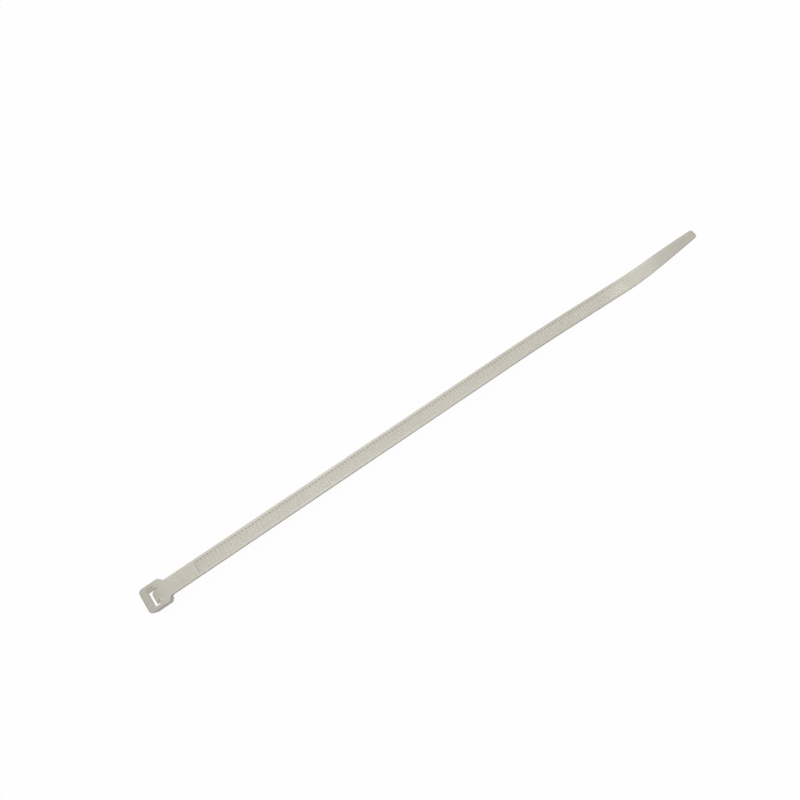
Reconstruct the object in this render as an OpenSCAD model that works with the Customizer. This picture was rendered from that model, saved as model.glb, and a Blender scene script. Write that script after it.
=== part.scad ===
// A cable tie in one moulded piece. It lies on its head and on a bend near the tip, toothed face up.
// X runs from the nose of the head to the tip, Y is across the strap and Z is up from the floor.

/* [Strap] */
// Length from the nose to the tip, along the smooth face
tie_l = 200; // [150:5:300]
// Width of the strap
strap_w = 4.8; // [4.4:0.1:5.6]
// Thickness of the strap over its side rails
strap_t = 1.25; // [1.1:0.05:1.4]
// Width of each plain rail beside the teeth
rail_w = 0.75; // [0.6:0.05:0.9]
// Bevel along the edges of the smooth face
smooth_bevel = 0.3; // [0.15:0.05:0.4]
// Bevel along the edges of the toothed face
rail_bevel = 0.12; // [0.05:0.01:0.2]

/* [Teeth] */
// Distance from one tooth to the next
tooth_pitch = 1.1; // [0.9:0.05:1.2]
// Depth of the toothed channel at the foot of a tooth
tooth_depth = 0.45; // [0.35:0.05:0.55]
// Depth of the crests of the teeth below the rails
crest_depth = 0.06; // [0.02:0.02:0.1]
// Length of each steep face along the strap
tooth_rake = 0.12; // [0.04:0.02:0.2]
// Plain length between the head and the first tooth
plain_root_l = 9; // [4:1:15]
// Plain length between the last tooth and the tip
plain_tip_l = 27; // [26:1:40]

/* [Tip] */
// Length over which the strap narrows
taper_l = 25; // [18:1:25]
// Width of the blunt end
tip_w = 2.8; // [2.2:0.1:3.2]
// Corner cut of the blunt end
tip_corner = 0.45; // [0.2:0.05:0.6]
// Fullness of the taper, where 1 is straight
taper_fullness = 1.6; // [1.2:0.1:3]
// Thickness left at the blunt end
tip_t = 0.85; // [0.75:0.05:1]
// Length over which the end thins
tip_thin_l = 8; // [3:1:12]

/* [Head] */
// Length of the head from its nose to the foot of its shoulders
head_l = 7.1; // [6.9:0.1:9]
// Width of the head, just below its entry face
head_w = 7.4; // [7.2:0.1:9]
// Height of the head
head_h = 5.3; // [4.9:0.1:6]
// Radius of the two corners at the nose
nose_r = 1.2; // [0.9:0.05:1.6]
// Length of the slanted shoulders
shoulder_l = 1.25; // [1:0.05:1.6]
// Slope of the nose wall, side walls and shoulders, in degrees
head_draft = 7; // [2:0.5:8]
// Slope of the root wall, in degrees
root_draft = 6; // [2:0.5:10]
// Bevel round the entry face and the exit face
head_bevel = 0.3; // [0.1:0.05:0.35]
// Radius of the fillet between the root wall and the smooth face
root_fillet_r = 1; // [0.4:0.1:2]
// Width of the gate stub on the nose
gate_w = 1.1; // [0.8:0.1:1.6]
// Height of the gate stub
gate_h = 0.9; // [0.6:0.1:1.4]
// Stand-out of the gate stub from the nose
gate_out = 0.2; // [0.1:0.05:0.4]

/* [Slot and pawl] */
// Distance from the nose to the slot, on the exit face
nose_wall = 1.2; // [1.15:0.05:1.4]
// Lean of the slot, which comes out of the exit face nearer to the nose, in degrees
slot_lean = 9.5; // [6:0.5:11]
// Clearance of the slot over the thickness of the strap
slot_clear_t = 0.2; // [0.1:0.05:0.3]
// Clearance of the slot on each side of the strap
slot_clear_w = 0.17; // [0.1:0.01:0.3]
// Lead-in bevel at the mouth of the slot
mouth_bevel = 0.25; // [0.1:0.05:0.35]
// Clearance between the pawl and each rail
pawl_clear = 0.25; // [0.05:0.05:0.3]
// Clearance on each side of the pawl, in the room that it bends back into
room_clear = 0.3; // [0.2:0.05:0.4]
// Gap between the tip of the pawl and the nose side of the slot
pawl_gap = 0.6; // [0.5:0.05:0.7]
// Number of teeth on the pawl
pawl_teeth = 3; // [2:1:3]
// Lean of the toothed face of the pawl, in degrees
pawl_lean = 14; // [10:1:16]
// Thickness of the pawl at its free end
pawl_t = 1.15; // [0.9:0.05:1.25]
// Height of the free end of the pawl above the exit face
pawl_rise = 0.9; // [0.6:0.05:1]
// Thickness of the hinge that carries the pawl
hinge_t = 0.8; // [0.6:0.05:0.9]
// Length of the hinge
hinge_l = 0.85; // [0.7:0.05:1]
// Length by which the mouth is longer than the slot, over the slope down to the teeth of the pawl
lead_l = 0.35; // [0.3:0.05:0.6]

/* [Rest shape] */
// Slope at which the strap comes down to the floor, in degrees
drop_angle = 5.8; // [4:0.2:7]
// Radius of the downward bend
drop_r = 200; // [100:10:300]
// Slope at which the end lifts off the floor, in degrees
lift_angle = 15; // [4:1:20]
// Radius of the upward bend
lift_r = 28; // [15:1:60]
// Length of the straight lifted end
lift_l = 18; // [10:1:24]

/* [Hidden] */
$fn = 64;
// Depth by which one solid is let into another, and overshoot of each cut
lap = 0.5;

// The smooth face is the line that the strap is laid along. It leaves the head level, comes down
// to the floor in a wide bend and a straight, and turns up again in a tighter bend.
radian = 180 / PI;
level_z = head_h - strap_t;
drop_arc = drop_r * drop_angle / radian;
turn_arc = lift_r * (drop_angle + lift_angle) / radian;
down = [cos(drop_angle), -sin(drop_angle)];
down_run = (level_z - (drop_r + lift_r) * (1 - cos(drop_angle))) / sin(drop_angle);
level_run = tie_l - drop_arc - down_run - turn_arc - lift_l;

// Distances from the nose, along the smooth face, at which one stretch gives way to the next
down_s = level_run + drop_arc;
turn_s = down_s + down_run;
floor_s = turn_s + lift_r * drop_angle / radian;
lift_s = turn_s + turn_arc;

// Slope of the strap at a distance from the nose, in degrees above the level
function slope_at(s) =
    s < level_run ? 0
    : s < down_s ? -(s - level_run) / drop_r * radian
    : s < turn_s ? -drop_angle
    : s < lift_s ? (s - floor_s) / lift_r * radian
    : lift_angle;

// Ends of the sloping stretches, as [x, z]
down_start = [level_run + drop_r * sin(drop_angle), level_z - drop_r * (1 - cos(drop_angle))];
turn_centre = [(down_start + down_run * down)[0] + lift_r * sin(drop_angle), lift_r];
lift_start = turn_centre + lift_r * [sin(lift_angle), -cos(lift_angle)];

// Point of the smooth face at a distance from the nose, as [x, z]
function face_at(s) =
    let (a = slope_at(s))
    s < level_run ? [s, level_z]
    : s < down_s ? [level_run, level_z - drop_r] + drop_r * [-sin(a), cos(a)]
    : s < turn_s ? down_start + (s - down_s) * down
    : s < lift_s ? turn_centre + lift_r * [sin(a), -cos(a)]
    : lift_start + (s - lift_s) * [cos(a), sin(a)];

// The same point raised by a height, square to the face
function point_at(s, h) = let (a = slope_at(s)) face_at(s) + h * [-sin(a), cos(a)];

// The origin lies under the middle of the whole length
nose_x = (gate_out - face_at(tie_l)[0]) / 2;

// Half width and thickness of the strap at a distance from the tip
function half_width(d) =
    d < tip_corner ? tip_w / 2 - tip_corner + d
    : d > taper_l ? strap_w / 2
    : tip_w / 2 + (strap_w - tip_w) / 2 * (1 - pow(1 - d / taper_l, taper_fullness));
function thickness(d) = min(strap_t, tip_t + (strap_t - tip_t) * d / tip_thin_l);

// The toothed channel lies between the rails
channel_w = strap_w - 2 * rail_w;
first_tooth_s = head_l + plain_root_l;
tooth_count = floor((tie_l - plain_tip_l - first_tooth_s) / tooth_pitch);
foot_h = strap_t - tooth_depth;
crest_h = strap_t - crest_depth;

// The pocket is the slot and, behind it, the room that the pawl bends back into. Both lean.
function slot_x(z) = nose_wall + z * tan(slot_lean);
function room_x(z) = pocket_x - (head_h - z) * tan(slot_lean);
slot_t = strap_t + slot_clear_t;
slot_w = strap_w + 2 * slot_clear_w;
mouth_x = slot_x(head_h) + slot_t + lead_l;
pocket_x = mouth_x + hinge_l;
pawl_w = channel_w - 2 * pawl_clear;
room_w = pawl_w + 2 * room_clear;
pawl_tip_x = slot_x(pawl_rise) + pawl_gap;
pawl_top_z = pawl_rise + pawl_teeth * tooth_pitch;
pawl_step = tooth_depth - crest_depth;

// Slant of the shoulders, in degrees, and the length by which their feet run into the strap
shoulder_angle = atan((head_w - strap_w) / 2 / shoulder_l);
shoulder_let_in = 0.1;
// Steps in the root fillet, in the bends and along the lifted end
fillet_steps = 6;
drop_steps = 5;
turn_steps = 4;
tail_steps = 14;

// A shape in the plane of the strap's side, given as [x, z], drawn out evenly to both sides
module across(width) {
    rotate([90, 0, 0])
        linear_extrude(width, center = true)
            children();
}

// A half ring of points followed by its mirror image
function both_sides(half) =
    concat(half, [for (i = [len(half) - 1:-1:0]) [half[i][0], -half[i][1], half[i][2]]]);

// A solid through rings of points, each a half ring followed by its mirror image
module loft(rings) {
    n = len(rings[0]);
    top = (len(rings) - 1) * n;
    skin = [for (r = [0:len(rings) - 2], i = [0:n - 1])
        let (a = r * n + i, b = r * n + (i + 1) % n)
        each [[a, a + n, b], [b, a + n, b + n]]];
    caps = [for (i = [0:n / 2 - 2])
        let (j = n - 1 - i)
        each [[i, i + 1, j], [j, i + 1, j - 1],
            [top + i, top + j, top + i + 1], [top + j, top + j - 1, top + i + 1]]];
    polyhedron([for (ring = rings) each ring], concat(skin, caps));
}

// Section of the strap at a distance from the nose
function strap_ring(s) =
    let (
        w = half_width(tie_l - s),
        t = thickness(tie_l - s),
        half = [[0, w - smooth_bevel], [smooth_bevel, w], [t - rail_bevel, w], [t, w - rail_bevel]]
    )
    both_sides([for (p = half) let (q = point_at(s, p[0])) [q[0], p[1], q[1]]]);

// Distances between two ends, in even steps, without the last
function stations(from, to, steps) = [for (i = [0:steps - 1]) from + (to - from) * i / steps];

module strap_blank() {
    loft([for (s = concat(
        [pocket_x + lap],
        stations(level_run, down_s, drop_steps),
        [down_s],
        stations(turn_s, floor_s, turn_steps),
        stations(floor_s, lift_s, turn_steps),
        stations(lift_s, tie_l - tip_corner, tail_steps),
        [tie_l - tip_corner, tie_l]
    )) strap_ring(s)]);
}

// Each tooth rises steeply on the side of the head and falls away towards the tip
module tooth_channel() {
    teeth = [for (i = [0:tooth_count - 1])
        let (s = first_tooth_s + i * tooth_pitch)
        each [point_at(s, foot_h), point_at(s + tooth_rake, crest_h)]];
    end = point_at(first_tooth_s + tooth_count * tooth_pitch, foot_h);
    across(channel_w)
        polygon(concat(teeth, [end, [end[0], head_h + lap], [teeth[0][0], head_h + lap]]));
}

module strap() {
    difference() {
        strap_blank();
        tooth_channel();
    }
}

// Profile of a wall of the head: distance out from its widest line, against height
function wall_profile() =
    let (b = head_bevel, draft = (head_h - 2 * b) * tan(head_draft))
    [[-draft - b, 0], [-draft, b], [0, head_h - b], [-b, head_h]];

// The head without its pocket: side walls, nose between two round corners, and slanted shoulders
module head_block() {
    w = head_w / 2;
    inner = w - nose_r;
    wall = wall_profile();
    // Side walls
    difference() {
        translate([nose_r, 0, 0])
            rotate([90, 0, 90])
                linear_extrude(head_l + shoulder_let_in - nose_r)
                    polygon(concat(
                        [for (p = wall) [w + p[0], p[1]]],
                        [for (i = [3:-1:0]) [-w - wall[i][0], wall[i][1]]]
                    ));
        for (side = [-1, 1])
            translate([head_l - shoulder_l, side * w, 0])
                rotate([90, 0, side * (90 - shoulder_angle)])
                    linear_extrude(2 * head_l, center = true)
                        polygon(concat(
                            [[wall[0][0], -lap]], wall,
                            [[wall[3][0], head_h + lap], [head_l, head_h + lap], [head_l, -lap]]
                        ));
    }
    // Nose and its corners
    across(2 * inner)
        polygon(concat([for (p = wall) [-p[0], p[1]]], [[nose_r + lap, head_h], [nose_r + lap, 0]]));
    for (side = [-1, 1])
        translate([nose_r, side * inner, 0])
            rotate_extrude()
                polygon(concat([[0, 0]], [for (p = wall) [nose_r + p[0], p[1]]], [[0, head_h]]));
}

// The root carries the strap, as wide as the strap, with a fillet under the smooth face
module root_block() {
    r = root_fillet_r;
    lean = tan(root_draft);
    fillet = [for (i = [0:fillet_steps])
        let (a = (90 - root_draft) * i / fillet_steps)
        [head_l + r * (1 - sin(a)), level_z - r * (1 - cos(a))]];
    foot = fillet[fillet_steps];
    foot_x = foot[0] - foot[1] * lean;
    across(strap_w)
        polygon(concat(fillet, [
            [foot_x + head_bevel * lean, head_bevel],
            [foot_x - head_bevel, 0],
            [pocket_x + lap, 0],
            [pocket_x + lap, level_z + strap_t / 2],
            [head_l + r, level_z + strap_t / 2],
        ]));
}

module pocket() {
    // Slot, with a bevel on the nose side of its mouth and a slope on the other
    across(slot_w)
        polygon([
            [slot_x(-lap), -lap],
            [slot_x(head_h - mouth_bevel), head_h - mouth_bevel],
            [slot_x(head_h) - mouth_bevel, head_h],
            [slot_x(head_h) - mouth_bevel, head_h + lap],
            [mouth_x, head_h + lap],
            [mouth_x, head_h],
            [slot_x(pawl_top_z) + slot_t, pawl_top_z],
            [slot_x(-lap) + slot_t, -lap],
        ]);
    // Room behind the pawl
    across(room_w)
        polygon([
            [slot_x(-lap) + slot_t - lap, -lap],
            [slot_x(head_h + lap) + slot_t - lap, head_h + lap],
            [room_x(head_h + lap), head_h + lap],
            [room_x(-lap), -lap],
        ]);
}

// The hinge carries the pawl at the entry face, and the free end points towards the exit face.
// The flat underside of each tooth stops the strap from coming back.
module pawl() {
    across(pawl_w)
        polygon(concat(
            [[pocket_x + lap, head_h], [mouth_x, head_h]],
            [for (i = [pawl_teeth:-1:0])
                let (z = pawl_rise + i * tooth_pitch, x = pawl_tip_x + i * tooth_pitch * tan(pawl_lean))
                each [if (i < pawl_teeth) [x, z], if (i > 0) [x + pawl_step, z]]],
            [
                [pawl_tip_x + pawl_t, pawl_rise],
                [mouth_x, head_h - hinge_t],
                [pocket_x + lap, head_h - hinge_t],
            ]
        ));
}

module gate_stub() {
    translate([-gate_out, -gate_w / 2, (head_h - gate_h) / 2])
        cube([gate_out + lap, gate_w, gate_h]);
}

module head() {
    difference() {
        head_block();
        pocket();
    }
    root_block();
    gate_stub();
    pawl();
}

module cable_tie() {
    color("#c6c3b8")
        translate([nose_x, 0, 0]) {
            strap();
            head();
        }
}

cable_tie();
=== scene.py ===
"""A cable tie of natural nylon, lying toothed face up on a pale floor.

The tie is shaped straight, as it comes from its mould, and is then bent to the way it lies. X runs from
the nose of the head to the tip, Y across the strap and Z up from the floor. Sizes are in millimetres until
a mesh is made from them.
"""
from math import cos, pi, radians, sin, sqrt, tan

import bmesh
import bpy
from mathutils import Matrix, Vector


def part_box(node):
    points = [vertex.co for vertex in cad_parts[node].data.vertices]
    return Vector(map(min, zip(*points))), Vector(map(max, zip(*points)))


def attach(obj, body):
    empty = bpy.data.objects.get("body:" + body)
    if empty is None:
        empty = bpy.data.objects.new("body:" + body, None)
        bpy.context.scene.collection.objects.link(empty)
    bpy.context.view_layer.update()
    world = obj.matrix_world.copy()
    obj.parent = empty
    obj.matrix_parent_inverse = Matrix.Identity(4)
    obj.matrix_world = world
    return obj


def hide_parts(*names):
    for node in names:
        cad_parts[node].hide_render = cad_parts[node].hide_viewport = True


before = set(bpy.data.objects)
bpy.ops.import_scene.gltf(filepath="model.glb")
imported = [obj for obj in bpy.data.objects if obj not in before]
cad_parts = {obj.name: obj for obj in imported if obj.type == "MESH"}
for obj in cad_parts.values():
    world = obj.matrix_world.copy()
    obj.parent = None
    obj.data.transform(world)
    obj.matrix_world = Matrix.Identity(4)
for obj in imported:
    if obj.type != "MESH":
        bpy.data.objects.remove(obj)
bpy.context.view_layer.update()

MM = 0.001
NODE = "cable_tie"
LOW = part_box(NODE)[0] / MM

# Strap
TIE_L = 200
STRAP_W = 4.8
STRAP_T = 1.25
RAIL_W = 0.75
SMOOTH_EDGE = 0.3
RAIL_EDGE = 0.12
CHANNEL_RIM = 0.08
CHANNEL_FILLET = 0.05

# Teeth
PITCH = 1.1
TOOTH_DEPTH = 0.45
CREST_DEPTH = 0.06
TOOTH_RAKE = 0.12
TOOTH_LAND = 0.1
TOOTH_ROUNDING = 0.06
TOOTH_LET_IN = 0.06
RAIL_LET_IN = 0.02
PLAIN_ROOT_L = 9
PLAIN_TIP_L = 27

# Tip
TAPER_L = 25
TIP_W = 2.8
TIP_CORNER = 0.75
TAPER_FULLNESS = 1.6
TIP_T = 0.85
TIP_THIN_L = 8
TIP_EDGE = 0.2

# Head
HEAD_L = 7.1
HEAD_W = 7.4
HEAD_H = 5.3
NOSE_R = 1.2
SHOULDER_L = 1.25
SHOULDER_R = 0.5
SHOULDER_LEAST_R = 0.15
SHOULDER_LET_IN = 0.15
HEAD_DRAFT = radians(7)
ROOT_DRAFT = radians(6)
HEAD_EDGE = 0.3
ROOT_FILLET_R = 1
GATE_W = 1.1
GATE_H = 0.9
GATE_OUT = 0.2
GATE_EDGE = 0.04

# Slot and pawl
NOSE_WALL = 1.2
SLOT_LEAN = radians(9.5)
SLOT_T = STRAP_T + 0.2
SLOT_W = STRAP_W + 2 * 0.17
SLOT_CORNER = 0.2
SLOT_EDGE = 0.12
MOUTH_EDGE = 0.25
PAWL_GAP = 0.6
PAWL_TEETH = 3
PAWL_LEAN = radians(14)
PAWL_T = 1.15
PAWL_RISE = 0.9
PAWL_CLEAR = 0.25
PAWL_LIP_R = 0.25
PAWL_TOOTH_R = 0.05
PAWL_FOOT_R = 0.15
PAWL_EDGE = 0.03
ROOM_CLEAR = 0.3
HINGE_T = 0.8
HINGE_L = 0.85
HINGE_R = 0.2
LEAD_L = 0.35

# Rest shape
DROP_ANGLE = radians(5.8)
DROP_R = 200
LIFT_ANGLE = radians(15)
LIFT_R = 28
LIFT_L = 18

# Colour of the nylon over the teeth and on plain faces. The plain faces get a darker colour, painted shade
# that matches them to the shade between the teeth.
NYLON = (0.583, 0.561, 0.505)
SHADED_PLAIN_NYLON = (0.516, 0.495, 0.430)

# Painted shade on the walls against level faces, lighter on the head, and painted light on the walls and
# the teeth faces in the channel;
# how steep a face is where that starts and ends, the length of the nose that counts as a wall, and how far
# the faces of the teeth that look along the tie count as one
WALL_PAINTED_SHADE = 0.68
HEAD_WALL_PAINTED_SHADE = 0.90
CHANNEL_WALL_PAINTED_LIGHT = 1.3
WALL_STARTS = 0.35
WALL_ENDS = 0.95
NOSE_FACE_L = 1
TOOTH_FACE_SHARE = 0.8

# Painted light inside the slot: a lighter tone, and a faint glow there, which both stand for light that
# comes through the plastic
SLOT_PAINTED_LIGHT = 1.2
SLOT_GLOW = 0.15

# Tone at distances from the nose: painted shade at the thick head and the thin tip, a painted highlight
# where the strap bends up
SHADE_AND_HIGHLIGHT_ALONG = (
    (0, 0.73), (3, 0.76), (6, 0.88), (13, 0.9), (25, 0.97), (110, 0.97), (145, 0.95), (160, 0.975),
    (171, 1.13), (176, 1.13), (185, 0.86), (194, 0.79),
)

# Patterns of the plastic, in features for each millimetre along the tie, across it and up. Those of the
# grain are also multiplied by its fineness.
CLOUD_CELLS = (0.06, 0.16, 0.16)
LINE_CELLS = (0.05, 1.6, 1.6)
HUE_CELLS = (0.02, 0.05, 0.05)
GRAIN_CELLS = (1, 1, 1)
GRAIN_FINENESS = 7.0
FLOW_CELLS = (0.12, 1.3, 1.3)
HAIR_CELLS = (0.25, 9, 9)
PATCH_CELLS = (0.1, 0.3, 0.3)

# Noise at which a hair scratch starts and is full, and the roughness of patches and scratches
HAIR_STARTS = 0.2
HAIR_FULL = 0.3
PATCH_ROUGHNESS = 0.16
HAIR_ROUGHNESS = 0.15

# Light of the surroundings, and the floor's share of plain white, the grey of the rest, and half its width
WORLD_LEVEL = 0.5
FLOOR_WHITE = 0.975
FLOOR_GREY = (0.6, 0.6, 0.6, 1)
FLOOR_HALF = 1500

# Depth by which one solid is let into another, and overshoot of each cut
LAP = 0.5
# Height of the channel's rim over the face, so that the cut shares no plane with it
SKIM = 0.01
# Distance at which two points are one, and length at which an edge is nothing
SAME_POINT = 0.003
NO_EDGE = 0.001
# Turn between faces from which the edge between them stays sharp
SHARP_TURN = radians(38)

# Places along the tie, measured from the nose
NOSE_X = LOW.x + GATE_OUT
MOUTH_X = NOSE_WALL + HEAD_H * tan(SLOT_LEAN) + SLOT_T + LEAD_L
POCKET_X = MOUTH_X + HINGE_L
FIRST_TOOTH = HEAD_L + PLAIN_ROOT_L
TEETH = int((TIE_L - PLAIN_TIP_L - FIRST_TOOTH) / PITCH)
LAST_TOOTH = FIRST_TOOTH + TEETH * PITCH

# Heights and widths
FACE_Z = HEAD_H - STRAP_T
CHANNEL_W = STRAP_W - 2 * RAIL_W
CHANNEL_Z = HEAD_H - TOOTH_DEPTH
PAWL_W = CHANNEL_W - 2 * PAWL_CLEAR
ROOM_W = PAWL_W + 2 * ROOM_CLEAR
PAWL_TOP_Z = PAWL_RISE + PAWL_TEETH * PITCH

# Stretches of the rest shape
DROP_ARC = DROP_R * DROP_ANGLE
TURN_ARC = LIFT_R * (DROP_ANGLE + LIFT_ANGLE)
DOWN_RUN = (FACE_Z - (DROP_R + LIFT_R) * (1 - cos(DROP_ANGLE))) / sin(DROP_ANGLE)
LEVEL_RUN = TIE_L - DROP_ARC - DOWN_RUN - TURN_ARC - LIFT_L
TURN_S = LEVEL_RUN + DROP_ARC + DOWN_RUN

# Lowest and highest corner, from the nose, of the boxes in which the slot and the channel get their painted
# light, and how softly it changes at their sides
SLOT_BOX = (
    (NOSE_WALL - 0.1, -SLOT_W / 2 - 0.15, -1),
    (POCKET_X + 0.15, SLOT_W / 2 + 0.15, HEAD_H - 0.15),
)
SLOT_SOFT = 0.1
CHANNEL_BOX = (
    (FIRST_TOOTH - 0.05, -CHANNEL_W / 2 - 0.05, -10),
    (LAST_TOOTH + 0.05, CHANNEL_W / 2 + 0.05, 10),
)
CHANNEL_SOFT = 0.04


# Mesh helpers

def mesh_object(name, points, faces):
    """A new object from points in millimetres, with its place in the mesh."""
    mesh = bpy.data.meshes.new(name)
    mesh.from_pydata([Vector(p) * MM for p in points], [], faces)
    made = bmesh.new()
    made.from_mesh(mesh)
    bmesh.ops.recalc_face_normals(made, faces=made.faces)
    made.to_mesh(mesh)
    made.free()
    piece = bpy.data.objects.new(name, mesh)
    bpy.context.scene.collection.objects.link(piece)
    return piece


def loft(name, rings):
    """A closed solid through rings that all have the same number of points."""
    count = len(rings[0])
    points = [p for ring in rings for p in ring]
    faces = [
        (r * count + i, r * count + (i + 1) % count, (r + 1) * count + (i + 1) % count, (r + 1) * count + i)
        for r in range(len(rings) - 1)
        for i in range(count)
    ]
    last = (len(rings) - 1) * count
    faces += [tuple(range(count)), tuple(range(last, last + count))]
    return mesh_object(name, points, faces)


def band(name, profile, fold):
    """A closed solid from a loop of (x, z, half width). Each side is folded at the point of that number."""
    count = len(profile)
    points = [(NOSE_X + x, side * half, z) for x, z, half in profile for side in (-1, 1)]
    faces = [(2 * i, 2 * i + 1, (2 * i + 3) % (2 * count), (2 * i + 2) % (2 * count)) for i in range(count)]
    for side in (0, 1):
        faces.append(tuple(2 * i + side for i in range(fold + 1)))
        faces.append(tuple(2 * i + side for i in [*range(fold, count), 0]))
    return mesh_object(name, points, faces)


def across(name, profile, width, edge):
    """A profile of (x, z) points drawn out evenly to both sides, with its two outlines rounded."""
    piece = loft(name, [[(NOSE_X + x, side * width / 2, z) for x, z in profile] for side in (-1, 1)])
    made = bmesh.new()
    made.from_mesh(piece.data)
    rims = [e for e in made.edges if abs(e.verts[0].co.y - e.verts[1].co.y) < NO_EDGE * MM]
    bmesh.ops.bevel(
        made, geom=rims, offset=edge * MM, segments=3, profile=0.5, affect="EDGES", clamp_overlap=True,
    )
    made.to_mesh(piece.data)
    made.free()
    return piece


def rounded(corners, steps=4):
    """Corners of (x, y, radius) as a closed outline, each turned into an arc where it has a radius."""
    outline = []
    for i, (x, y, radius) in enumerate(corners):
        here = Vector((x, y))
        back = Vector(corners[i - 1][:2]) - here
        ahead = Vector(corners[(i + 1) % len(corners)][:2]) - here
        if not radius:
            outline.append((x, y))
            continue
        half = back.angle(ahead) / 2
        reach = min(radius / tan(half), 0.49 * back.length, 0.49 * ahead.length)
        radius = reach * tan(half)
        middle = here + (back.normalized() + ahead.normalized()).normalized() * radius / sin(half)
        start = here + back.normalized() * reach - middle
        end = here + ahead.normalized() * reach - middle
        turn = start.angle_signed(end)
        for step in range(steps + 1):
            spoke = start.copy()
            spoke.rotate(Matrix.Rotation(-turn * step / steps, 2))
            outline.append(tuple(middle + spoke))
    return outline


def quarter(steps):
    """Angles from nothing to a right angle."""
    return [pi / 2 * i / steps for i in range(steps + 1)]


def combine(piece, tool, operation):
    """Joins a closed solid to the piece, or cuts it out, and deletes the tool."""
    change = piece.modifiers.new("Combine", "BOOLEAN")
    change.object = tool
    change.operation = operation
    change.solver = "EXACT"
    bake(piece)
    bpy.data.objects.remove(tool)


def clean(piece):
    """Takes out the slivers, and the loose points on edges, that are left where solids were joined."""
    made = bmesh.new()
    made.from_mesh(piece.data)
    bmesh.ops.remove_doubles(made, verts=made.verts, dist=SAME_POINT * MM)
    bmesh.ops.dissolve_degenerate(made, edges=made.edges, dist=NO_EDGE * MM)
    bmesh.ops.dissolve_verts(made, verts=[vert for vert in made.verts if len(vert.link_edges) == 2])
    made.to_mesh(piece.data)
    made.free()


def bake(piece):
    """The piece's modifiers turned into plain mesh."""
    graph = bpy.context.evaluated_depsgraph_get()
    mesh = bpy.data.meshes.new_from_object(piece.evaluated_get(graph), depsgraph=graph)
    piece.modifiers.clear()
    piece.data = mesh


# Node helpers

def place(tree, kind, settings=None, **inputs):
    """A node with its settings and its inputs, where an input is a value or the socket that feeds it.

    Where an input's name is an underscore and a number, it is the input of that number, from nothing.
    """
    node = tree.nodes.new(kind)
    for name, value in (settings or {}).items():
        setattr(node, name, value)
    for name, value in inputs.items():
        key = int(name[1:]) if name[0] == "_" and name[1:].isdigit() else name.replace("_", " ")
        if isinstance(value, bpy.types.NodeSocket):
            tree.links.new(value, node.inputs[key])
        else:
            node.inputs[key].default_value = value
    return node


def calc(tree, kind, a, b=0.0, c=0.0):
    """One step of arithmetic."""
    return place(tree, "ShaderNodeMath", {"operation": kind}, _0=a, _1=b, _2=c).outputs[0]


def vector(tree, **parts):
    """A vector from its X, Y and Z, where a part that isn't given is nothing."""
    return place(tree, "ShaderNodeCombineXYZ", **parts).outputs[0]


def parts_of(tree, value):
    """The X, Y and Z of a vector."""
    return place(tree, "ShaderNodeSeparateXYZ", Vector=value).outputs


def sockets(tree, inputs, outputs):
    """Named sockets of a tree, from {name: (kind, value)} and {name: kind}."""
    for name, (kind, value) in inputs.items():
        made = tree.interface.new_socket(name, in_out="INPUT", socket_type="NodeSocket" + kind)
        if value is not None:
            made.default_value = value
    for name, kind in outputs.items():
        tree.interface.new_socket(name, in_out="OUTPUT", socket_type="NodeSocket" + kind)


def run_tree(piece, tree, values):
    """Puts a geometry tree on a piece with its own values, and bakes the result."""
    change = piece.modifiers.new(tree.name, "NODES")
    change.node_group = tree
    for item in tree.interface.items_tree:
        if item.in_out == "INPUT" and item.name in values:
            change[item.identifier] = values[item.name]
    bake(piece)


# Strap

def half_width(d):
    """Half the width of the strap at a distance from the tip."""
    if d < TIP_CORNER:
        return TIP_W / 2 - TIP_CORNER + sqrt(TIP_CORNER ** 2 - (TIP_CORNER - d) ** 2)
    if d > TAPER_L:
        return STRAP_W / 2
    return TIP_W / 2 + (STRAP_W - TIP_W) / 2 * (1 - (1 - d / TAPER_L) ** TAPER_FULLNESS)


def strap_ring(s):
    """Rounded section of the straight strap at a distance from the nose."""
    d = TIE_L - s
    w = half_width(d)
    t = min(STRAP_T, TIP_T + (STRAP_T - TIP_T) * d / TIP_THIN_L)
    sink = TIP_EDGE - sqrt(TIP_EDGE ** 2 - max(0, TIP_EDGE - d) ** 2)
    low, high = sink, t - sink
    half = [(w - SMOOTH_EDGE * (1 - sin(a)), low + SMOOTH_EDGE * (1 - cos(a))) for a in quarter(4)]
    half += [(w - RAIL_EDGE * (1 - cos(a)), high - RAIL_EDGE * (1 - sin(a))) for a in quarter(3)]
    ring = half + [(-y, h) for y, h in reversed(half)]
    return [(NOSE_X + s, y, FACE_Z + h) for y, h in ring]


def steps_between(start, end, count):
    """Even steps, without the last."""
    return [start + (end - start) * i / count for i in range(count)]


def strap_blank():
    """The strap without its toothed channel, closed from inside the head to the tip."""
    places = [POCKET_X + LAP]
    places += steps_between(LEVEL_RUN, LEVEL_RUN + DROP_ARC, 8)
    places += steps_between(LEVEL_RUN + DROP_ARC, TURN_S, 2)
    places += steps_between(TURN_S, TURN_S + TURN_ARC, 10)
    places += steps_between(TURN_S + TURN_ARC, TIE_L - TIP_CORNER, 20)
    places += [TIE_L - TIP_CORNER * (1 - sin(a)) for a in quarter(8)]
    return loft("strap", [strap_ring(s) for s in places])


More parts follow.
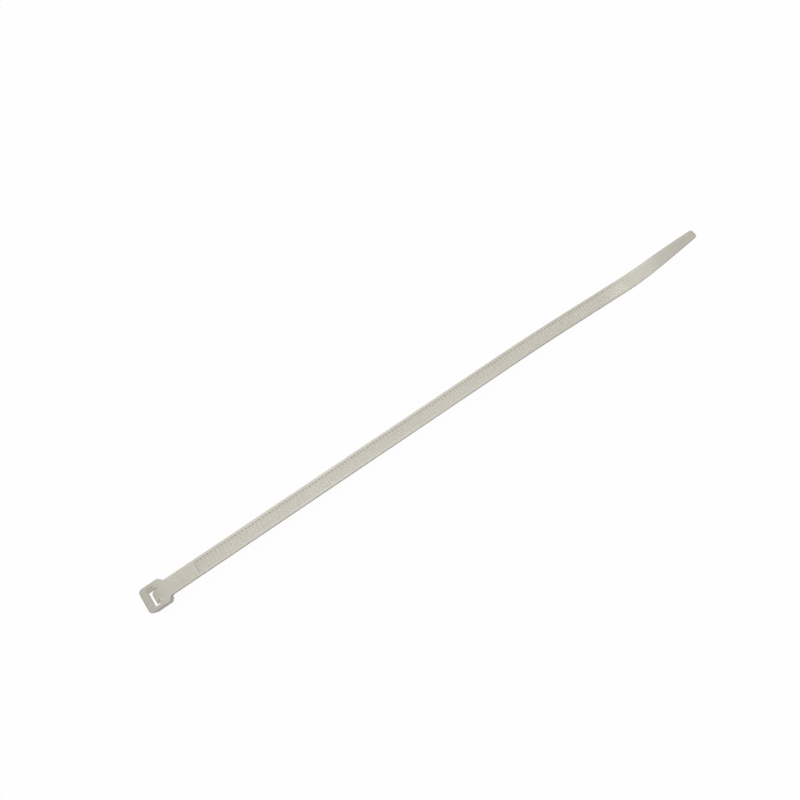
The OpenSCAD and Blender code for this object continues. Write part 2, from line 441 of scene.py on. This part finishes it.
def channel_cut():
    """The plain channel between the rails, with a fillet in each corner and a rounded rim."""
    w, rim, fillet = CHANNEL_W / 2, CHANNEL_RIM, CHANNEL_FILLET
    half = [(w - fillet * (1 - sin(a)), CHANNEL_Z + fillet * (1 - cos(a))) for a in quarter(2)]
    half += [(w + rim * (1 - cos(a)), HEAD_H - rim * (1 - sin(a))) for a in quarter(3)]
    half[-1] = (half[-1][0], HEAD_H + SKIM)
    half.append((half[-1][0], HEAD_H + LAP))
    section = half + [(-y, z) for y, z in reversed(half)]
    places = [FIRST_TOOTH]
    places += steps_between(LEVEL_RUN, LEVEL_RUN + DROP_ARC, 8)
    places += [LEVEL_RUN + DROP_ARC, TURN_S, LAST_TOOTH]
    return loft("channel", [[(NOSE_X + s, y, z) for y, z in section] for s in places])


def teeth_tree():
    """A row of saw teeth: one rounded wedge, drawn out across the strap and repeated at the pitch."""
    tree = bpy.data.node_groups.new("Row of teeth", "GeometryNodeTree")
    sockets(tree, {
        "Geometry": ("Geometry", None),
        "Count": ("Int", 10),
        "Pitch": ("Float", 0.0011),
        "Width": ("Float", 0.003),
        "Rise": ("Float", 0.0004),
        "Rake": ("Float", 0.0001),
        "Land": ("Float", 0.0001),
        "Rounding": ("Float", 0.00005),
        "Let in": ("Float", 0.00005),
        "Start": ("Vector", None),
        "Material": ("Material", None),
    }, {"Geometry": "Geometry"})
    given = tree.nodes.new("NodeGroupInput").outputs
    sunk = calc(tree, "MULTIPLY", given["Let in"], -1.0)
    crest = calc(tree, "ADD", given["Rake"], given["Land"])
    half = calc(tree, "MULTIPLY", given["Width"], 0.5)
    wedge = place(
        tree, "GeometryNodeCurvePrimitiveQuadrilateral", {"mode": "POINTS"},
        Point_1=vector(tree, Y=sunk), Point_2=vector(tree, X=given["Rake"], Y=given["Rise"]),
        Point_3=vector(tree, X=crest, Y=given["Rise"]), Point_4=vector(tree, X=given["Pitch"], Y=sunk),
    )
    wedge = place(
        tree, "GeometryNodeFilletCurve", {"mode": "POLY"},
        Curve=wedge.outputs[0], Count=3, Radius=given["Rounding"], Limit_Radius=True,
    )
    line = place(
        tree, "GeometryNodeCurvePrimitiveLine",
        Start=vector(tree, Z=calc(tree, "MULTIPLY", half, -1.0)), End=vector(tree, Z=half),
    )
    tooth = place(
        tree, "GeometryNodeCurveToMesh",
        Curve=line.outputs[0], Profile_Curve=wedge.outputs[0], Fill_Caps=True,
    )
    row = place(
        tree, "GeometryNodeMeshLine", {"mode": "OFFSET"},
        Count=given["Count"], Start_Location=given["Start"], Offset=vector(tree, X=given["Pitch"]),
    )
    repeated = place(
        tree, "GeometryNodeInstanceOnPoints", Points=row.outputs[0], Instance=tooth.outputs[0],
        Rotation=(pi / 2, 0, 0),
    )
    solid = place(tree, "GeometryNodeRealizeInstances", Geometry=repeated.outputs[0])
    coated = place(tree, "GeometryNodeSetMaterial", Geometry=solid.outputs[0], Material=given["Material"])
    tree.links.new(coated.outputs[0], tree.nodes.new("NodeGroupOutput").inputs[0])
    return tree


def teeth(nylon):
    """The row of teeth in the channel, let into its floor and its rails."""
    row = mesh_object("teeth", [(0, 0, 0)], [])
    run_tree(row, teeth_tree(), {
        "Count": TEETH,
        "Pitch": PITCH * MM,
        "Width": (CHANNEL_W + 2 * RAIL_LET_IN) * MM,
        "Rise": (TOOTH_DEPTH - CREST_DEPTH) * MM,
        "Rake": TOOTH_RAKE * MM,
        "Land": TOOTH_LAND * MM,
        "Rounding": TOOTH_ROUNDING * MM,
        "Let in": TOOTH_LET_IN * MM,
        "Start": [(NOSE_X + FIRST_TOOTH) * MM, 0, CHANNEL_Z * MM],
        "Material": nylon,
    })
    return row


# Head

def head_outline(inset):
    """Outline of the head, pulled in from its widest line, with a round nose and slanted shoulders."""
    w = HEAD_W / 2
    run, fall = SHOULDER_L, (HEAD_W - STRAP_W) / 2
    normal = Vector((fall, run)).normalized()
    reach = normal.dot(Vector((HEAD_L - SHOULDER_L, w))) - inset
    shoulder_x = (reach - normal.y * (w - inset)) / normal.x
    end_y = STRAP_W / 2 - SHOULDER_LET_IN
    end_x = (reach - normal.y * end_y) / normal.x
    nose_r = NOSE_R - inset
    shoulder_r = max(SHOULDER_R - inset / 2, SHOULDER_LEAST_R)
    half = [(inset, w - inset, nose_r), (shoulder_x, w - inset, shoulder_r), (end_x, end_y, 0)]
    corners = half + [(x, -y, r) for x, y, r in reversed(half)]
    return rounded(corners, steps=8)


def head_block():
    """The head before its pocket is cut, with drafted walls and rounded edges."""
    draft = (HEAD_H - 2 * HEAD_EDGE) * tan(HEAD_DRAFT)
    levels = [(HEAD_EDGE * (1 - cos(a)), draft + HEAD_EDGE * (1 - sin(a))) for a in quarter(4)]
    levels += [(HEAD_H - HEAD_EDGE * (1 - sin(a)), HEAD_EDGE * (1 - cos(a))) for a in quarter(4)]
    return loft("head", [[(NOSE_X + x, y, z) for x, y in head_outline(inset)] for z, inset in levels])


def root_block():
    """The root that carries the strap, with a fillet under the smooth face and drafted sides."""
    lean = tan(ROOT_DRAFT)
    r = ROOT_FILLET_R
    steps = 8
    fillet = [
        (HEAD_L + r * (1 - sin(a)), FACE_Z - r * (1 - cos(a)))
        for a in [(pi / 2 - ROOT_DRAFT) * i / steps for i in range(steps + 1)]
    ]
    foot_x = fillet[-1][0] - fillet[-1][1] * lean
    foot = [
        (foot_x - HEAD_EDGE * (1 - sin(a)) + HEAD_EDGE * lean, HEAD_EDGE * (1 - cos(a)))
        for a in reversed(quarter(3))
    ]
    inside = POCKET_X + LAP
    half = STRAP_W / 2 - SMOOTH_EDGE
    drafted = fillet + foot + [(inside, 0), (inside, FACE_Z)]
    wall = [(x, z, half - (FACE_Z - z) * tan(HEAD_DRAFT)) for x, z in drafted]
    middle = FACE_Z + STRAP_T / 2
    return band("root", wall + [(inside, middle, half), (HEAD_L + r, middle, half)], len(wall) - 1)


def slot_x(z):
    """Place of the slot's nose side at a height. The slot comes out of the exit face nearer to the nose."""
    return NOSE_WALL + z * tan(SLOT_LEAN)


def mouth_slope(z):
    """How far the slot is opened on the pawl's side, above the pawl's teeth."""
    return max(0, (z - PAWL_TOP_Z) / (HEAD_H - PAWL_TOP_Z)) * (MOUTH_X - slot_x(HEAD_H) - SLOT_T)


def box_ring(z, x0, x1, half):
    """Outline of a hole at a height, with round corners."""
    corners = [(x, y, SLOT_CORNER) for x, y in ((x0, -half), (x1, -half), (x1, half), (x0, half))]
    return [(NOSE_X + x, y, z) for x, y in rounded(corners, steps=3)]


def hole(name, ends, half, nose_edge):
    """A leaning hole through the head, let out in a round edge at both faces."""
    edge = SLOT_EDGE
    levels = [(-LAP, edge, edge), (0, edge, edge)]
    levels += [(edge * sin(a), edge * (1 - sin(a)), edge * (1 - sin(a))) for a in quarter(3)[1:]]
    levels.append((PAWL_TOP_Z, 0, 0))
    for a in quarter(4):
        levels.append((HEAD_H - MOUTH_EDGE * (1 - sin(a)), nose_edge * (1 - cos(a)), edge * (1 - cos(a))))
    levels.append((HEAD_H + LAP, nose_edge, edge))
    rings = []
    for z, nose_flare, flare in levels:
        x0, x1 = ends(min(max(z, 0), HEAD_H))
        rings.append(box_ring(z, x0 - nose_flare, x1 + flare, half + flare))
    return loft(name, rings)


def slot_cut():
    """The slot, with a round edge at its mouth and a slope on the pawl's side."""
    return hole("slot", lambda z: (slot_x(z), slot_x(z) + SLOT_T + mouth_slope(z)), SLOT_W / 2, MOUTH_EDGE)


def room_cut():
    """The room that the pawl bends back into."""
    back = POCKET_X - slot_x(HEAD_H)
    return hole("room", lambda z: (slot_x(z) + SLOT_T - LAP, slot_x(z) + back), ROOM_W / 2, 0)


def pawl():
    """The toothed pawl on its hinge: the entry slope, the teeth with flat undersides, and the back."""
    step = TOOTH_DEPTH - CREST_DEPTH
    tip_x = slot_x(PAWL_RISE) + PAWL_GAP
    corners = [(POCKET_X + LAP, HEAD_H, 0), (MOUTH_X, HEAD_H, PAWL_LIP_R)]
    for i in range(PAWL_TEETH, -1, -1):
        z = PAWL_RISE + i * PITCH
        x = tip_x + i * PITCH * tan(PAWL_LEAN)
        if i < PAWL_TEETH:
            corners.append((x, z, PAWL_TOOTH_R))
        if i > 0:
            corners.append((x + step, z, PAWL_TOOTH_R))
    corners += [
        (tip_x + PAWL_T, PAWL_RISE, PAWL_FOOT_R),
        (MOUTH_X, HEAD_H - HINGE_T, HINGE_R),
        (POCKET_X + LAP, HEAD_H - HINGE_T, 0),
    ]
    return across("pawl", rounded(corners, steps=3), PAWL_W, PAWL_EDGE)


def gate_stub():
    """The little stump where the tie was broken off its runner."""
    half = GATE_H / 2
    middle = HEAD_H / 2
    # How far out the broken face stands from its foot to its top, and at what share of half its height
    ragged = [(0.3, -1), (1, -0.8), (0.7, -0.35), (0.95, 0.1), (0.75, 0.75), (0.3, 1)]
    profile = [(LAP, middle + half), (LAP, middle - half)]
    profile += [(-out * GATE_OUT, middle + half * share) for out, share in ragged]
    return across("gate", profile, GATE_W, GATE_EDGE)


# Rest shape

def bend_group():
    """Turns everything beyond a place along X through an angle, round an arc of a given radius."""
    tree = bpy.data.node_groups.new("Bend", "GeometryNodeTree")
    sockets(tree, {
        "Geometry": ("Geometry", None),
        "Start": ("Float", 0.0),
        "Angle": ("Float", 0.1),
        "Radius": ("Float", 0.1),
        "Face height": ("Float", 0.0),
    }, {"Geometry": "Geometry"})
    given = tree.nodes.new("NodeGroupInput").outputs
    here = parts_of(tree, place(tree, "GeometryNodeInputPosition").outputs[0])
    arc = calc(tree, "ABSOLUTE", calc(tree, "MULTIPLY", given["Radius"], given["Angle"]))
    beyond = calc(tree, "SUBTRACT", here["X"], given["Start"])
    share = place(tree, "ShaderNodeClamp", Value=calc(tree, "DIVIDE", beyond, arc)).outputs[0]
    side = calc(tree, "SIGN", given["Angle"])
    centre_z = calc(tree, "ADD", given["Face height"], calc(tree, "MULTIPLY", given["Radius"], side))
    straight_x = calc(tree, "SUBTRACT", here["X"], calc(tree, "MULTIPLY", arc, share))
    turned = place(
        tree, "ShaderNodeVectorRotate", {"rotation_type": "Y_AXIS"},
        Vector=vector(tree, X=straight_x, Y=here["Y"], Z=here["Z"]),
        Center=vector(tree, X=given["Start"], Z=centre_z),
        Angle=calc(tree, "MULTIPLY", calc(tree, "MULTIPLY", given["Angle"], share), -1.0),
    )
    moved = place(tree, "GeometryNodeSetPosition", Geometry=given["Geometry"], Position=turned.outputs[0])
    tree.links.new(moved.outputs[0], tree.nodes.new("NodeGroupOutput").inputs[0])
    return tree


def rest_tree():
    """The way the tie lies: the end lifts in one bend, and the strap comes down to the floor in another."""
    bend = bend_group()
    tree = bpy.data.node_groups.new("Rest shape", "GeometryNodeTree")
    sockets(tree, {
        "Geometry": ("Geometry", None),
        "Face height": ("Float", 0.0),
        "Drop start": ("Float", 0.0),
        "Drop angle": ("Float", 0.1),
        "Drop radius": ("Float", 0.2),
        "Lift start": ("Float", 0.1),
        "Lift angle": ("Float", 0.1),
        "Lift radius": ("Float", 0.1),
        "Material": ("Material", None),
    }, {"Geometry": "Geometry"})
    given = tree.nodes.new("NodeGroupInput").outputs
    geometry = given["Geometry"]
    for stretch in ("Lift", "Drop"):
        geometry = place(
            tree, "GeometryNodeGroup", {"node_tree": bend},
            Geometry=geometry, Face_height=given["Face height"], Start=given[stretch + " start"],
            Angle=given[stretch + " angle"], Radius=given[stretch + " radius"],
        ).outputs[0]
    solid = place(tree, "GeometryNodeRealizeInstances", Geometry=geometry)
    coated = place(tree, "GeometryNodeSetMaterial", Geometry=solid.outputs[0], Material=given["Material"])
    tree.links.new(coated.outputs[0], tree.nodes.new("NodeGroupOutput").inputs[0])
    return tree


def lay_down(tie, nylon):
    """Bends the straight tie to the shape in which it lies."""
    run_tree(tie, rest_tree(), {
        "Face height": FACE_Z * MM,
        "Drop start": (NOSE_X + LEVEL_RUN) * MM,
        "Drop angle": -DROP_ANGLE,
        "Drop radius": DROP_R * MM,
        "Lift start": (NOSE_X + TURN_S) * MM,
        "Lift angle": DROP_ANGLE + LIFT_ANGLE,
        "Lift radius": LIFT_R * MM,
        "Material": nylon,
    })


def soften(tie):
    """Smooth shading over the rounded edges, with flat faces kept flat."""
    tie.data.shade_smooth()
    tie.data.set_sharp_from_angle(angle=SHARP_TURN)
    change = tie.modifiers.new("Flat faces", "WEIGHTED_NORMAL")
    change.keep_sharp = True
    change.weight = 80
    bake(tie)


def cable_tie(nylon):
    """The whole tie as one closed solid."""
    tie = strap_blank()
    combine(tie, channel_cut(), "DIFFERENCE")
    combine(tie, teeth(nylon), "UNION")
    head = head_block()
    combine(head, slot_cut(), "DIFFERENCE")
    combine(head, room_cut(), "DIFFERENCE")
    for part in (head, root_block(), pawl(), gate_stub()):
        combine(tie, part, "UNION")
    clean(tie)
    lay_down(tie, nylon)
    soften(tie)
    tie.name = "natural_nylon_tie"
    return tie


# Materials

def group(name, inputs, outputs):
    """A new shader node group with named sockets. Gives the group and the sockets that come in."""
    tree = bpy.data.node_groups.new(name, "ShaderNodeTree")
    sockets(tree, inputs, outputs)
    return tree, tree.nodes.new("NodeGroupInput").outputs


def give(tree, **results):
    """Feeds the outputs of a group."""
    end = tree.nodes.new("NodeGroupOutput")
    for name, socket in results.items():
        tree.links.new(socket, end.inputs[name.replace("_", " ")])


def smooth(tree, value, start, end, low=0.0, high=1.0):
    """A smooth change from low to high while the value goes from start to end."""
    return place(
        tree, "ShaderNodeMapRange", {"interpolation_type": "SMOOTHSTEP"},
        Value=value, From_Min=start, From_Max=end, To_Min=low, To_Max=high,
    ).outputs[0]


def between(tree, value, low, high, soft):
    """One between two places and nothing outside them, over a soft edge."""
    rise, fall = [
        smooth(tree, value, calc(tree, "SUBTRACT", end, soft), calc(tree, "ADD", end, soft))
        for end in (low, high)
    ]
    return calc(tree, "SUBTRACT", rise, fall)


def noise(tree, at, cells, detail, fineness=1.0):
    """Noise from about -0.5 to 0.5, from the features for each millimetre along each axis."""
    squeezed = place(
        tree, "ShaderNodeVectorMath", {"operation": "MULTIPLY"}, _0=at, _1=tuple(n / MM for n in cells),
    ).outputs[0]
    made = place(tree, "ShaderNodeTexNoise", Vector=squeezed, Scale=fineness, Detail=detail).outputs[0]
    return calc(tree, "SUBTRACT", made, 0.5)


def box_group():
    """One inside a box, nothing outside it."""
    tree, given = group("Inside a box", {
        "Place": ("Vector", None), "Low": ("Vector", None), "High": ("Vector", None),
        "Soft": ("Float", 0.0001),
    }, {"Inside": "Float"})
    at, low, high = [parts_of(tree, given[name]) for name in ("Place", "Low", "High")]
    inside = [between(tree, at[k], low[k], high[k], given["Soft"]) for k in range(3)]
    give(tree, Inside=calc(tree, "MULTIPLY", calc(tree, "MULTIPLY", inside[0], inside[1]), inside[2]))
    return tree


def shade_and_highlight_group():
    """Tone of the plastic from nose to tip: painted shade and painted highlight where it is thicker or
    thinner or lies at another slope.
    """
    tree, given = group("Painted shade and highlight along the tie", {
        "Place": ("Vector", None), "Nose": ("Float", -0.1), "Length": ("Float", 0.2),
    }, {"Tone": "Float"})
    x = parts_of(tree, given["Place"])["X"]
    share = calc(tree, "DIVIDE", calc(tree, "SUBTRACT", x, given["Nose"]), given["Length"])
    ramp = place(tree, "ShaderNodeValToRGB", Fac=share)
    stops = ramp.color_ramp.elements
    stops[0].position, stops[1].position = SHADE_AND_HIGHLIGHT_ALONG[0][0] / TIE_L, SHADE_AND_HIGHLIGHT_ALONG[-1][0] / TIE_L
    for distance, _ in SHADE_AND_HIGHLIGHT_ALONG[1:-1]:
        stops.new(distance / TIE_L)
    # A stop holds at most one, so the ramp holds half of each tone
    for stop, (_, tone) in zip(stops, SHADE_AND_HIGHLIGHT_ALONG):
        stop.color = (tone / 2, tone / 2, tone / 2, 1)
    give(tree, Tone=calc(tree, "MULTIPLY", ramp.outputs[0], 2.0))
    return tree


def cloud_group():
    """Soft clouds, flow lines along the strap and a faint drift of hue, as in moulded natural nylon."""
    tree, given = group("Cloudy plastic", {
        "Place": ("Vector", None), "Color": ("Color", (0.6, 0.58, 0.52, 1)), "Clouds": ("Float", 0.1),
        "Flow lines": ("Float", 0.05), "Hue drift": ("Float", 0.01),
    }, {"Color": "Color"})
    clouds = noise(tree, given["Place"], CLOUD_CELLS, detail=3.0)
    lines = noise(tree, given["Place"], LINE_CELLS, detail=2.0)
    drift = noise(tree, given["Place"], HUE_CELLS, detail=1.0)
    value = calc(tree, "MULTIPLY_ADD", clouds, given["Clouds"], 1.0)
    value = calc(tree, "ADD", value, calc(tree, "MULTIPLY", lines, given["Flow lines"]))
    hue = calc(tree, "ADD", calc(tree, "MULTIPLY", drift, given["Hue drift"]), 0.5)
    tinted = place(tree, "ShaderNodeHueSaturation", Hue=hue, Value=value, Color=given["Color"])
    give(tree, Color=tinted.outputs[0])
    return tree


def surface_group():
    """Fine grain of the mould, flow lines and hair scratches along the strap, as height and roughness."""
    tree, given = group("Moulded surface", {
        "Place": ("Vector", None), "Grain": ("Float", 0.5), "Flow": ("Float", 0.5),
        "Scratches": ("Float", 0.5), "Roughness": ("Float", 0.4),
    }, {"Height": "Float", "Roughness": "Float"})
    grain = noise(tree, given["Place"], GRAIN_CELLS, detail=3.0, fineness=GRAIN_FINENESS)
    flow = noise(tree, given["Place"], FLOW_CELLS, detail=2.0)
    hairs = noise(tree, given["Place"], HAIR_CELLS, detail=1.0)
    patches = noise(tree, given["Place"], PATCH_CELLS, detail=3.0)
    grained = calc(tree, "MULTIPLY", grain, given["Grain"])
    flowed = calc(tree, "MULTIPLY", flow, given["Flow"])
    cut = smooth(tree, hairs, HAIR_STARTS, HAIR_FULL, low=0.0, high=-1.0)
    scratched = calc(tree, "MULTIPLY", cut, given["Scratches"])
    height = calc(tree, "ADD", calc(tree, "ADD", grained, flowed), scratched)
    rough = calc(tree, "ADD", given["Roughness"], calc(tree, "MULTIPLY", patches, PATCH_ROUGHNESS))
    rough = calc(tree, "SUBTRACT", rough, calc(tree, "MULTIPLY", scratched, HAIR_ROUGHNESS))
    give(tree, Height=height, Roughness=rough)
    return tree


def use(tree, made, **inputs):
    """A node that runs a group."""
    return place(tree, "ShaderNodeGroup", {"node_tree": made}, **inputs).outputs


def mixed(tree, share, low, high):
    """A value between two others."""
    return place(tree, "ShaderNodeMapRange", Value=share, To_Min=low, To_Max=high).outputs[0]


def in_box(tree, made, at, box, soft):
    """One inside a box round a part of the tie, nothing outside it."""
    low, high = [((NOSE_X + x) * MM, y * MM, z * MM) for x, y, z in box]
    return use(tree, made, Place=at, Low=low, High=high, Soft=soft * MM)["Inside"]


def painted_wall_light_and_shade(tree, at, channel):
    """Tone of painted shade on the side walls of the strap, of the head and of its nose, and of painted
    light on the channel's walls and teeth faces, against one on level faces.
    """
    normal = parts_of(tree, place(tree, "ShaderNodeNewGeometry").outputs["Normal"])
    x = parts_of(tree, at)["X"]
    head, nose = [calc(tree, "LESS_THAN", x, (NOSE_X + end) * MM) for end in (HEAD_L, NOSE_FACE_L)]
    reach = calc(tree, "MAXIMUM", nose, calc(tree, "MULTIPLY", channel, TOOTH_FACE_SHARE))
    ahead = calc(tree, "MULTIPLY", calc(tree, "ABSOLUTE", normal["X"]), reach)
    steep = calc(tree, "MAXIMUM", calc(tree, "ABSOLUTE", normal["Y"]), ahead)
    wall = smooth(tree, steep, WALL_STARTS, WALL_ENDS)
    outside = mixed(tree, head, WALL_PAINTED_SHADE, HEAD_WALL_PAINTED_SHADE)
    return mixed(tree, wall, 1.0, mixed(tree, channel, outside, CHANNEL_WALL_PAINTED_LIGHT))


def scaled(tree, color, share):
    """A colour times a value."""
    return place(tree, "ShaderNodeVectorMath", {"operation": "SCALE"}, Vector=color, Scale=share).outputs[0]


def natural_nylon():
    """Satin, cloudy nylon, lined by its flow, with painted shade on its walls and painted light in the
    channel and the slot.
    """
    material = bpy.data.materials.new("natural nylon")
    material.use_nodes = True
    tree = material.node_tree
    shader = tree.nodes["Principled BSDF"]
    at = place(tree, "ShaderNodeTexCoord").outputs["Object"]
    inside_box = box_group()
    slot = in_box(tree, inside_box, at, SLOT_BOX, SLOT_SOFT)
    channel = in_box(tree, inside_box, at, CHANNEL_BOX, CHANNEL_SOFT)
    # Painted shade at the head and the tip, and a painted highlight at the bend
    tone = use(tree, shade_and_highlight_group(), Place=at, Nose=NOSE_X * MM, Length=TIE_L * MM)["Tone"]
    # Painted shade on the outer walls and the nose, painted light on the walls and teeth faces of the
    # channel
    tone = calc(tree, "MULTIPLY", tone, painted_wall_light_and_shade(tree, at, channel))
    # Painted light in the slot: a lighter tone, with a faint painted glow below
    tone = mixed(tree, slot, tone, SLOT_PAINTED_LIGHT)
    # Darker colour on plain faces than in the channel: painted shade that evens out the shade between the
    # teeth
    # The sockets of a mix of colours are numbered, because its names repeat
    color = place(
        tree, "ShaderNodeMix", {"data_type": "RGBA"}, _0=channel, _6=(*SHADED_PLAIN_NYLON, 1), _7=(*NYLON, 1),
    ).outputs[2]
    base = scaled(tree, color, tone)
    glow = scaled(tree, NYLON, calc(tree, "MULTIPLY", slot, SLOT_GLOW))
    cloudy = use(tree, cloud_group(), Place=at, Color=base, Clouds=0.10, Flow_lines=0.05, Hue_drift=0.012)
    surface = use(tree, surface_group(), Place=at, Grain=0.5, Flow=1.0, Scratches=0.6, Roughness=0.42)
    bump = place(tree, "ShaderNodeBump", Height=surface["Height"], Strength=0.35, Distance=0.02 * MM)
    tree.links.new(cloudy["Color"], shader.inputs["Base Color"])
    tree.links.new(glow, shader.inputs["Emission Color"])
    tree.links.new(surface["Roughness"], shader.inputs["Roughness"])
    tree.links.new(bump.outputs[0], shader.inputs["Normal"])
    plain = {
        "Emission Strength": 1.0,
        "Subsurface Weight": 0.3,
        "Subsurface Radius": (1.0, 0.9, 0.75),
        "Subsurface Scale": 4 * MM,
        "IOR": 1.53,
    }
    for name, value in plain.items():
        shader.inputs[name].default_value = value
    return material


# Surroundings

def seen_directly(tree):
    """One for rays from the camera, and for rays that are mirrored or pass through."""
    path = place(tree, "ShaderNodeLightPath").outputs
    mirrored = calc(tree, "MAXIMUM", path["Is Glossy Ray"], path["Is Transmission Ray"])
    return calc(tree, "MAXIMUM", path["Is Camera Ray"], mirrored)


def pale_floor():
    """A white floor that keeps a soft shadow."""
    corners = [(x * FLOOR_HALF, y * FLOOR_HALF, 0) for x, y in ((-1, -1), (1, -1), (1, 1), (-1, 1))]
    floor = mesh_object("floor", corners, [(0, 1, 2, 3)])
    material = bpy.data.materials.new("white floor")
    material.use_nodes = True
    tree = material.node_tree
    tree.nodes.clear()
    lit = place(tree, "ShaderNodeBsdfDiffuse", Color=FLOOR_GREY).outputs[0]
    white = place(tree, "ShaderNodeEmission", Color=(1, 1, 1, 1), Strength=1.0).outputs[0]
    share = calc(tree, "MULTIPLY", seen_directly(tree), FLOOR_WHITE)
    shown = place(tree, "ShaderNodeMixShader", _0=share, _1=lit, _2=white)
    tree.links.new(shown.outputs[0], place(tree, "ShaderNodeOutputMaterial").inputs["Surface"])
    floor.data.materials.append(material)


def surround():
    """Even white surroundings that light the object gently."""
    world = bpy.data.worlds.new("surround")
    bpy.context.scene.world = world
    world.use_nodes = True
    tree = world.node_tree
    tree.nodes.clear()
    strength = mixed(tree, seen_directly(tree), WORLD_LEVEL, 1.0)
    light = place(tree, "ShaderNodeBackground", Color=(1, 1, 1, 1), Strength=strength)
    tree.links.new(light.outputs[0], place(tree, "ShaderNodeOutputWorld").inputs["Surface"])


def softbox(name, place_at, aim, size, power):
    """A square area light that faces a point, with its places and its size in metres."""
    lamp = bpy.data.lights.new(name, "AREA")
    lamp.shape = "SQUARE"
    lamp.size = size
    lamp.energy = power
    piece = bpy.data.objects.new(name, lamp)
    bpy.context.scene.collection.objects.link(piece)
    piece.location = place_at
    piece.rotation_euler = (Vector(aim) - Vector(place_at)).to_track_quat("-Z", "Y").to_euler()


def camera():
    """The photograph's view, from well above, with the tie running up to the right."""
    turn = radians(34.84)
    elevation = radians(69.79)
    distance = 213.7
    # Nose of the tie, measured to the right and up the picture from the point on the floor in its middle
    nose_right, nose_up = -60.6, -60.8
    focal_px = 708
    shift_px = (-27.5, -5.1)
    picture_px = 800
    right = Vector((cos(turn), -sin(turn), 0))
    away = Vector((sin(turn), cos(turn), 0))
    aim = Vector((NOSE_X, 0, 0)) - nose_right * right - nose_up * away
    back = Vector((0, 0, sin(elevation))) - away * cos(elevation)
    up = back.cross(right)
    lens = bpy.data.cameras.new("camera")
    lens.sensor_width = 36
    lens.lens = focal_px / picture_px * lens.sensor_width
    lens.shift_x = -shift_px[0] / picture_px
    lens.shift_y = shift_px[1] / picture_px
    lens.clip_start = 0.01
    piece = bpy.data.objects.new("camera", lens)
    bpy.context.scene.collection.objects.link(piece)
    turned = Matrix((right, up, back)).transposed().to_4x4()
    piece.matrix_world = Matrix.Translation((aim + back * distance) * MM) @ turned
    bpy.context.scene.camera = piece


nylon = natural_nylon()
tie = cable_tie(nylon)
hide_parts(NODE)
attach(tie, "root")

camera()
pale_floor()
surround()
softbox("overhead softbox", place_at=(0, 0.28, 0.70), aim=(0, 0, 0), size=0.5, power=3.5)
bpy.context.scene.view_settings.view_transform = "Standard"
